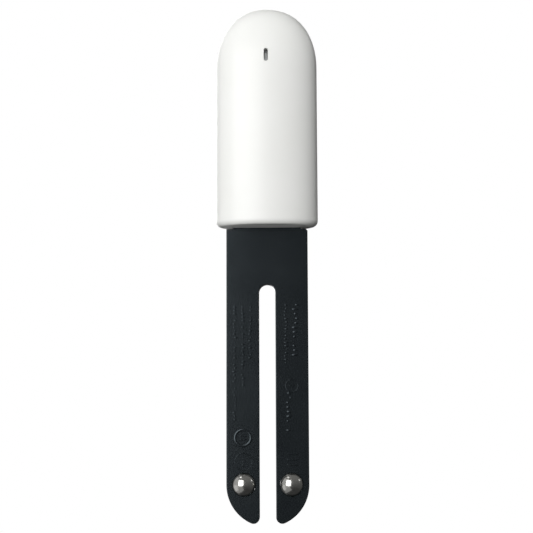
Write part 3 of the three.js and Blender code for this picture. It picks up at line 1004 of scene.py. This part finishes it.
screw = middle("chassis_screw_right")
BOSS_RADIUS = 1.7
BOSS_ROOT = -4.55
BOSS_END = -2.62
BOSS_LIP = 0.12
PILOT_RADIUS = 0.55
PILOT_MOUTH = 0.8


def boss(sign):
    """A screw boss with a bevelled mouth."""
    profile = [(0, BOSS_ROOT), (BOSS_RADIUS, BOSS_ROOT), (BOSS_RADIUS, BOSS_END - BOSS_LIP),
               (BOSS_RADIUS - BOSS_LIP, BOSS_END), (0, BOSS_END)]
    return turned(profile, sign * screw.x, screw.z, 40)


def pilot_hole(sign):
    """A tool for the hole that the screw bites into, with a flared mouth and a drilled end."""
    profile = [(0, -4.4), (PILOT_RADIUS, -4.2), (PILOT_RADIUS, BOSS_END - 0.15),
               (PILOT_MOUTH, BOSS_END + 0.1), (0, BOSS_END + 0.1)]
    return turned(profile, sign * screw.x, screw.z, 32)


front = half_shell(-1)
front = minus(combine(front, collar(-1), "UNION"), light_slot(), blade_opening())
for sign in (-1, 1):
    stud = as_object(boss(sign))
    combine(stud, head_form(inset=WALL / 2), "INTERSECT")
    combine(front, stud, "UNION")
front = minus(front, pilot_hole(-1), pilot_hole(1))
finish(front, "front_shell_skin", "shell_white", ["front_shell"])

# %% Make the battery cover

TONGUE_FRONT = -0.55
SIDE_TONGUE_EDGE = 0.12
RIB_EDGE = 0.15
RIB_X = 4
NOTCH_WIDTH = 9
NOTCH_HEIGHT = 1.6


def side_tongue(sign):
    """A tongue that slips inside the front shell's wall, on the left (-1) or the right (1)."""
    inner, outer = sorted((sign * 9.2, sign * 9.9))
    return block((inner, TONGUE_FRONT, 29), (outer, 3.2, 33), SIDE_TONGUE_EDGE)


def top_tongue():
    """A wide flat tongue under the crown."""
    return block((-2.5, TONGUE_FRONT, 46), (2.5, 4.6, 47), RIB_EDGE)


def press_rib(x):
    """An upright rib behind the cell."""
    return block((x - 0.4, 2.35, 9), (x + 0.4, 5.3, 25), RIB_EDGE)


def nail_notch():
    """A tool for the notch in the bottom of the seam, where the cover is pried off."""
    return slab(obround(0, 0, NOTCH_WIDTH, NOTCH_HEIGHT), 0, 3.2, 0.0, 0.25)


cover = half_shell(1)
cover = minus(combine(cover, collar(1), "UNION"), blade_opening())
cover = plus(
    cover, top_tongue(), side_tongue(-1), side_tongue(1), press_rib(-RIB_X), press_rib(RIB_X),
)
cover = minus(cover, nail_notch())
finish(cover, "battery_cover_skin", "shell_white", ["battery_cover"], "cover")

# %% [markdown]
# ## The blade
# The blade is two flat shells bonded round a long circuit board. Its outline is drawn once, from arcs:
# the whole end is one large round, the slot's end is another, and a small fillet joins them at each
# tip. The outer edges have a small round, and a hairline runs round the side where the halves meet.

# %% Outline of the fork

TIP_X = SLOT_HALF_WIDTH + TIP_FILLET
TIP_DROP = math.sqrt((BLADE_HALF_WIDTH - TIP_FILLET) ** 2 - TIP_X**2)
END_Z = BLADE_TIP + TIP_DROP + TIP_FILLET
PARTING = 0.03
EDGE_RADIUS = 0.18
INNER_EDGE = 0.05
BLADE_WALL = 0.9
POCKET_FLOOR = 0.7
NECK_POCKET_HALF = 6.9
PLATE_THICKNESS = 0.9
PLATE_EDGE = 0.12


def fork(steps=28):
    """The fork's outline, in X and Z. Its right shoulder is nicked where the mould was filled."""
    tip_z = END_Z - TIP_DROP
    tilt = math.atan2(TIP_DROP, TIP_X)
    half_turn = math.pi
    nick = 0.45
    corner = 0.12
    points = [
        (BLADE_HALF_WIDTH, SHOULDER_Z - nick), (BLADE_HALF_WIDTH - nick, SHOULDER_Z),
        (corner - BLADE_HALF_WIDTH, SHOULDER_Z), (-BLADE_HALF_WIDTH, SHOULDER_Z - corner),
    ]
    points += arc(0, END_Z, BLADE_HALF_WIDTH, half_turn, half_turn + tilt, steps)
    points += arc(-TIP_X, tip_z, TIP_FILLET, half_turn + tilt, 2 * half_turn, steps // 2)
    points += arc(0, SLOT_TOP - SLOT_HALF_WIDTH, SLOT_HALF_WIDTH, half_turn, 0, steps)
    points += arc(TIP_X, tip_z, TIP_FILLET, half_turn, 2 * half_turn - tilt, steps // 2)
    points += arc(0, END_Z, BLADE_HALF_WIDTH, 2 * half_turn - tilt, 2 * half_turn, steps)
    return single(points)


def neck_plate():
    """The rounded plate that locks the blade inside the head."""
    low, high = corners("neck_seal")
    corner_points = [(high.x, high.y, 1), (low.x, high.y, 1), (low.x, low.y, 1), (high.x, low.y, 1)]
    outline = softened(corner_points, 6)
    foot = BLADE_TOP - PLATE_THICKNESS
    levels = (
        (foot, PLATE_EDGE), (foot + PLATE_EDGE, 0), (BLADE_TOP - PLATE_EDGE, 0), (BLADE_TOP, PLATE_EDGE),
    )
    return lofted([[(x, y, z) for x, y in grown(outline, -inset)] for z, inset in levels])


dome_low, dome_high = corners("electrode_right")
DOME_RADIUS = (dome_high.x - dome_low.x) / 2
ELECTRODE_X = (dome_high.x + dome_low.x) / 2
ELECTRODE_Z = (dome_high.z + dome_low.z) / 2
DOME_CROWN = dome_low.y
HOLE_CLEARANCE = 0.04


def electrode_hole(sign, face):
    """A tool for the hole round an electrode, with a rounded lip. Face is -1 in front, 1 behind."""
    hole = DOME_RADIUS + HOLE_CLEARANCE
    surface = -BLADE_FRONT
    profile = [(0, 0), (hole, 0), (hole, surface - 0.1), (hole + 0.02, surface - 0.04),
               (hole + 0.07, surface + 0.01), (hole + 0.07, surface + 1), (0, surface + 1)]
    return turned([(radius, face * y) for radius, y in profile], sign * ELECTRODE_X, ELECTRODE_Z, 72)


def blade_half(face):
    """The front (face -1) or back (face 1) half of the blade."""
    outer, inner = face * -BLADE_FRONT, face * PARTING
    near, far = sorted((outer, inner))
    edges = (EDGE_RADIUS, INNER_EDGE) if face < 0 else (INNER_EDGE, EDGE_RADIUS)
    half = as_object(slab(fork(), near, far, *edges, steps=6))
    neck = block((-NECK_HALF, near, SHOULDER_Z - 1.5), (NECK_HALF, far, BLADE_TOP - 0.4))
    half = plus(half, neck, neck_plate())
    cut_low, cut_high = sorted((inner - face * 10, inner))
    half = minus(half, block((-20, cut_low, -80), (20, cut_high, 20)))
    pocket_low, pocket_high = sorted((face * POCKET_FLOOR, -face * 5))
    half = minus(
        half, slab(grown(fork(), -BLADE_WALL), pocket_low, pocket_high),
        block(
            (-NECK_POCKET_HALF, pocket_low, SHOULDER_Z - 1.5),
            (NECK_POCKET_HALF, pocket_high, BLADE_TOP + 2),
        ),
    )
    return minus(half, electrode_hole(-1, face), electrode_hole(1, face))


# %% [markdown]
# ## Raised marks on the blade
# The mould leaves shallow relief on the blade's front: columns of small bars, like the marks of a
# rule, and a few rings. Here they carry no writing. A column is one Geometry Nodes tree: a line of
# points, a small pillow-shaped bar on each, and a seeded random length, shift and gap for each bar.
# The bars are then joined to the blade as one solid.

# %% A tree for a column of bars

SHORTEST_BAR = 0.34
LONGEST_BAR = 0.95
KEPT_SHARE = 0.86
WIDE_COLUMN = 1.3


def bar_column_tree():
    tree = bpy.data.node_groups.new("bar_column", "GeometryNodeTree")
    tree.interface.new_socket("Geometry", in_out="OUTPUT", socket_type="NodeSocketGeometry")
    for name, kind in (
        ("Start", "NodeSocketVector"), ("Length", "NodeSocketFloat"), ("Pitch", "NodeSocketFloat"),
        ("Column width", "NodeSocketFloat"), ("Bar width", "NodeSocketFloat"),
        ("Relief", "NodeSocketFloat"), ("Seed", "NodeSocketInt"), ("Material", "NodeSocketMaterial"),
    ):
        tree.interface.new_socket(name, in_out="INPUT", socket_type=kind)
    given = node(tree, "NodeGroupInput").outputs
    length, pitch, column, bar, relief = (
        Field(tree, given[name]) for name in ("Length", "Pitch", "Column width", "Bar width", "Relief")
    )
    step = node(tree, "ShaderNodeCombineXYZ", Z=0.0 - pitch)
    line = node(
        tree, "GeometryNodeMeshLine", Count=(length / pitch), Start_Location=given["Start"],
        Offset=step.outputs[0],
    )

    def random(low, high, offset):
        seed = node(tree, "ShaderNodeMath", {"operation": "ADD"})
        tree.links.new(given["Seed"], seed.inputs[0])
        seed.inputs[1].default_value = offset
        made = node(tree, "FunctionNodeRandomValue", {"data_type": "FLOAT"})
        made.inputs[2].default_value = low
        made.inputs[3].default_value = high
        tree.links.new(seed.outputs[0], made.inputs["Seed"])
        return Field(tree, made.outputs[1])

    share = random(SHORTEST_BAR, LONGEST_BAR, 0)
    side = random(-0.5, 0.5, 7)
    shift = node(tree, "ShaderNodeCombineXYZ", X=column * (1.0 - share) * side)
    moved = node(
        tree, "GeometryNodeSetPosition", Geometry=line.outputs[0], Offset=shift.outputs[0],
    )
    keep = random(0.0, 1.0, 13)
    kept = node(tree, "GeometryNodeDeleteGeometry", {"domain": "POINT"}, Geometry=moved.outputs[0])
    gaps = node(tree, "FunctionNodeCompare", {"data_type": "FLOAT", "operation": "GREATER_THAN"})
    plug(tree, keep, gaps.inputs[0])
    gaps.inputs[1].default_value = KEPT_SHARE
    tree.links.new(gaps.outputs[0], kept.inputs["Selection"])
    pillow = node(tree, "GeometryNodeMeshUVSphere", Segments=14, Rings=8, Radius=0.5)
    size = node(tree, "ShaderNodeCombineXYZ", X=column * share, Y=relief * 2.0, Z=bar)
    bars = node(
        tree, "GeometryNodeInstanceOnPoints", Points=kept.outputs[0], Instance=pillow.outputs["Mesh"],
        Scale=size.outputs[0],
    )
    plain = node(tree, "GeometryNodeRealizeInstances", Geometry=bars.outputs[0])
    dressed = node(
        tree, "GeometryNodeSetMaterial", Geometry=plain.outputs[0], Material=given["Material"],
    )
    tree.links.new(dressed.outputs[0], node(tree, "NodeGroupOutput").inputs[0])
    return tree


BAR_COLUMN = bar_column_tree()
RELIEF = 0.13
COLUMNS = (
    # middle in X, top in Z, length, width of the column
    (-7.45, -18.7, 26.7, 1.2),
    (-5.58, -18.7, 19.4, 1.2),
    (-3.82, -18.7, 12.6, 1.05),
    (6.50, -18.2, 12.9, 1.85),
    (4.33, -18.3, 14.8, 1.15),
    (4.90, -38.5, 10.4, 1.5),
)


def bar_column(index):
    x, top, length, width = COLUMNS[index]
    wide = width > WIDE_COLUMN
    return grow(
        BAR_COLUMN, Start=(x, BLADE_FRONT, top), Length=length, Pitch=1.05 if wide else 0.78,
        Column_width=width, Bar_width=0.56 if wide else 0.42, Relief=RELIEF, Seed=11 * index,
        Material=MATERIALS["blade_charcoal"],
    )


# %% Rings and plain bars


def relief_ring(x, z, radius, width):
    """A raised ring with a rounded back."""
    profile = [(radius - width / 2, BLADE_FRONT + 0.1), (radius + width / 2, BLADE_FRONT + 0.1)]
    for step in range(9):
        angle = math.pi * step / 8
        profile.append((radius + width / 2 * math.cos(angle), BLADE_FRONT - RELIEF * math.sin(angle)))
    return turned(profile, x, z, 64)


def relief_bar(x, z, width, height):
    """A raised bar with a rounded back."""
    across = width / 2
    along = height / 2
    outline = softened([
        (x + across, z + along, 0.12), (x - across, z + along, 0.12),
        (x - across, z - along, 0.12), (x + across, z - along, 0.12),
    ])
    rings = [[(u, BLADE_FRONT + 0.1, v) for u, v in outline]]
    for step in range(5):
        angle = math.radians(18 * step)
        inset = 0.9 * min(across, along) * (1 - math.cos(angle))
        y = BLADE_FRONT - RELIEF * math.sin(angle)
        rings.append([
            (x + (u - x) * (1 - inset / across), y, z + (v - z) * (1 - inset / along))
            for u, v in outline
        ])
    return lofted(rings)


def relief_marks():
    """Every ring and plain bar on the blade."""
    yield relief_ring(-5.64, -48.6, 1.8, 0.62)
    for z in (-48.15, -49.05):
        yield relief_bar(-5.64, z, 1.5, 0.4)
    yield relief_ring(-5.56, -54.0, 1.95, 0.2)
    yield relief_bar(-5.56, -54.0, 0.3, 2.1)
    yield relief_ring(5.59, -36.8, 1.42, 0.22)
    yield relief_bar(5.59, -36.8, 1.3, 0.26)
    for z in (-52.3, -53.5, -54.7):
        yield relief_bar(5.68, z, 2.6, 0.42)


# %% Make the blade

blade = blade_half(-1)
for index in range(len(COLUMNS)):
    combine(blade, bar_column(index), "UNION")
blade = plus(blade, *relief_marks())
finish(blade, "blade_front_skin", "blade_charcoal", ["blade_front"])
finish(blade_half(1), "blade_back_skin", "blade_charcoal", ["blade_back"])

# %% [markdown]
# ## Electrodes
# Each electrode is a polished steel dome with a shank through the blade, and a lower dome is pressed on
# behind. The dome is a plain arc with a tiny step at its foot, where it was parted from the bar. A thin
# rubber washer sits under it.

# %% Turn the electrodes


def cap(radius, foot, crown, steps=20):
    """The arc of a dome from its rim to its crown, as (radius, y)."""
    height = abs(crown - foot)
    ball = (radius**2 + height**2) / (2 * height)
    spread = math.asin(min(1.0, radius / ball))
    centre = crown + math.copysign(ball, foot - crown)
    facing = math.copysign(1.0, crown - foot)
    angles = [spread * (1 - i / steps) for i in range(steps + 1)]
    return [
        (ball * math.sin(angle) if i < steps else 0.0, centre + facing * ball * math.cos(angle))
        for i, angle in enumerate(angles)
    ]


SHANK_RADIUS = 0.9
SHANK_EDGE = 0.1
BORE_RADIUS = 1.05
BORE_DEPTH = 0.75
UNDERCUT = 0.06
BACK_RIM = 0.4


def front_electrode(sign):
    """The front dome with its shank, on the left (-1) or the right (1)."""
    foot = BLADE_FRONT + 0.1
    end = corners("electrode_right")[1].y
    dome = cap(DOME_RADIUS, foot - 0.12, DOME_CROWN)
    profile = [
        *reversed(dome), (DOME_RADIUS, foot), (DOME_RADIUS - UNDERCUT, foot + 0.05),
        (SHANK_RADIUS + SHANK_EDGE, foot + 0.05), (SHANK_RADIUS, foot + 0.15),
        (SHANK_RADIUS, end - SHANK_EDGE), (SHANK_RADIUS - SHANK_EDGE, end), (0, end),
    ]
    return turned(profile, sign * ELECTRODE_X, ELECTRODE_Z, 96)


def back_electrode(sign):
    """The lower dome behind, with a blind bore for the shank."""
    low, high = corners("electrode_back_right")
    radius = (high.x - low.x) / 2
    face = -BLADE_FRONT + 0.05
    dome = cap(radius, face + 0.08, high.y)
    bore_end = low.y + BORE_DEPTH
    profile = [
        (0, bore_end), (BORE_RADIUS, bore_end), (BORE_RADIUS, low.y), (radius - BACK_RIM, low.y),
        (radius - BACK_RIM, face - 0.05), (radius - UNDERCUT, face - 0.05), (radius, face), *dome,
    ]
    return turned(profile, sign * ELECTRODE_X, ELECTRODE_Z, 96)


for side, sign in (("left", -1), ("right", 1)):
    finish(
        as_object(front_electrode(sign)), f"electrode_{side}_dome", "electrode_steel",
        [f"electrode_{side}"], sharp=40,
    )
    finish(
        as_object(back_electrode(sign)), f"electrode_back_{side}_dome", "electrode_steel",
        [f"electrode_back_{side}"], sharp=40,
    )

# %% [markdown]
# ## Light guide
# A small window of milky plastic closes the light slot from inside. Its tongue stands in the lower part
# of the slot and stops a little below the surface, so the upper part stays dark.

# %% Mould the light guide


WINDOW_WIDTH = 2.4
WINDOW_HEIGHT = 4.4
WINDOW_FRONT = -4.85
WINDOW_BACK = -4.5
WINDOW_EDGE = 0.08
TIP_FRONT = -5.72
TIP_EDGE = 0.12
TIP_BELOW = 0.5


def light_guide():
    """A plate behind the wall with a tongue that fills the lower part of the slot."""
    plate = as_object(slab(
        obround(0, SLOT_Z, WINDOW_WIDTH, WINDOW_HEIGHT), WINDOW_FRONT, WINDOW_BACK, WINDOW_EDGE, WINDOW_EDGE,
    ))
    tongue_outline = obround(0, SLOT_Z - TIP_BELOW, SLOT_WIDTH - 0.1, SLOT_HEIGHT - 1.15)
    return plus(plate, slab(tongue_outline, TIP_FRONT, -4.7, TIP_EDGE))


finish(light_guide(), "light_window", "clear_diffuser", ["light_guide"])

# %% [markdown]
# ## Coin cell
# The cell is a nickel-plated can with a smaller cap, and a dark ring of seal between them. The can has
# a soft shoulder, and its flat end carries the plain plus sign of the positive pole.

# %% Turn the coin cell

can_low, can_high = corners("cell_can")
CELL_RADIUS = (can_high.x - can_low.x) / 2
CELL_Z = (can_high.z + can_low.z) / 2
CELL_BACK = can_high.y
CELL_WALL = CELL_BACK - corners("cell_cap")[1].y - 0.3
END_RECESS = 0.05


def fillet(radius, y, size, start, end, steps=6):
    """An arc of a profile, as (radius, y), round a centre."""
    angles = [math.radians(start + (end - start) * i / steps) for i in range(steps + 1)]
    return [(radius + size * math.cos(a), y + size * math.sin(a)) for a in angles]


def cell_can():
    """The can, open at the front, with its end slightly recessed inside the shoulder."""
    back = CELL_BACK - CELL_WALL
    lip = can_low.y
    inside = CELL_RADIUS - CELL_WALL
    profile = [(0, back), (inside - 0.1, back), (inside, back - 0.1), (inside, lip)]
    profile += fillet(CELL_RADIUS - 0.15, lip + 0.15, 0.15, -90, 0)
    profile += fillet(CELL_RADIUS - 0.45, CELL_BACK - 0.45, 0.45, 0, 90, 8)
    flat = CELL_BACK - END_RECESS
    profile += [(CELL_RADIUS - 0.7, CELL_BACK), (CELL_RADIUS - 0.85, flat), (0, flat)]
    return as_object(turned(profile, 0, CELL_Z, 128))


def cell_cap():
    """The smaller cap of the negative pole, with its filling."""
    low, high = corners("cell_cap")
    widest = (high.x - low.x) / 2
    profile = [(0, low.y), *fillet(widest - 0.65, low.y + 0.3, 0.3, -90, 0), (widest, low.y + 0.3),
               (widest, high.y), (0, high.y)]
    return as_object(turned(profile, 0, CELL_Z, 128))


def plus_sign():
    """Two crossed bars that stand a little above the can."""
    for width, height in ((2.6, 0.5), (0.5, 2.6)):
        yield block(
            (-width / 2, CELL_BACK - 0.3, CELL_Z + 3.8 - height / 2),
            (width / 2, CELL_BACK, CELL_Z + 3.8 + height / 2), 0.04,
        )


finish(plus(cell_can(), *plus_sign()), "cell_can_skin", "cell_steel", ["cell_can"])
finish(cell_cap(), "cell_cap_skin", "cell_steel", ["cell_cap"])

# %% [markdown]
# ## Chassis, seals, boards and components
# These moulded and stamped pieces start from a clean copy of their plain shape. Flat faces are joined
# again, then a bevel that only finds the sharp edges rounds them by the size that the process leaves:
# a tenth of a millimetre on a moulding, a few hundredths on a chip.

# %% Round the edges of the inner pieces

INNER = {
    # slot: (size of the rounded edge in mm, the nodes)
    "seal_rubber": (0.06, ["cover_gasket", "cell_seal", "neck_seal", "electrode_seal_left",
                           "electrode_seal_right"]),
    "chassis_grey": (0.12, ["chassis"]),
    "board_green": (0.04, ["main_board", "probe_board"]),
    "contact_plating": (0.05, ["positive_contact", "negative_contact", "link_pin_1", "link_pin_2",
                               "link_pin_3"]),
    "chip_black": (0.07, ["light_sensor", "radio_chip", "memory_chip", "temperature_sensor"]),
    "ceramic_white": (0.06, ["status_led", "chip_antenna"]),
    "fastener_steel": (0.09, ["timing_crystal", "chassis_screw_left", "chassis_screw_right"]),
}


def rounded(name, edge):
    """A merged copy of a plain piece, in millimetres, with its sharp edges rounded."""
    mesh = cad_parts[name].data.copy()
    mesh.transform(Matrix.Scale(1 / MM, 4))
    piece = bpy.data.objects.new(name + "_work", mesh)
    bpy.context.scene.collection.objects.link(piece)
    bm = bmesh.new()
    bm.from_mesh(mesh)
    bmesh.ops.remove_doubles(bm, verts=bm.verts, dist=1e-3)
    bmesh.ops.dissolve_limit(
        bm, angle_limit=math.radians(1.0), verts=bm.verts, edges=bm.edges, use_dissolve_boundaries=False,
    )
    bm.to_mesh(mesh)
    bm.free()
    bevel = piece.modifiers.new("Round sharp edges", "BEVEL")
    bevel.width = edge
    bevel.segments = 2
    bevel.limit_method = "ANGLE"
    bevel.angle_limit = math.radians(35)
    bevel.use_clamp_overlap = True
    bake(piece)
    return piece


for slot, (edge, names) in INNER.items():
    for name in names:
        finish(rounded(name, edge), name + "_skin", slot, [name])
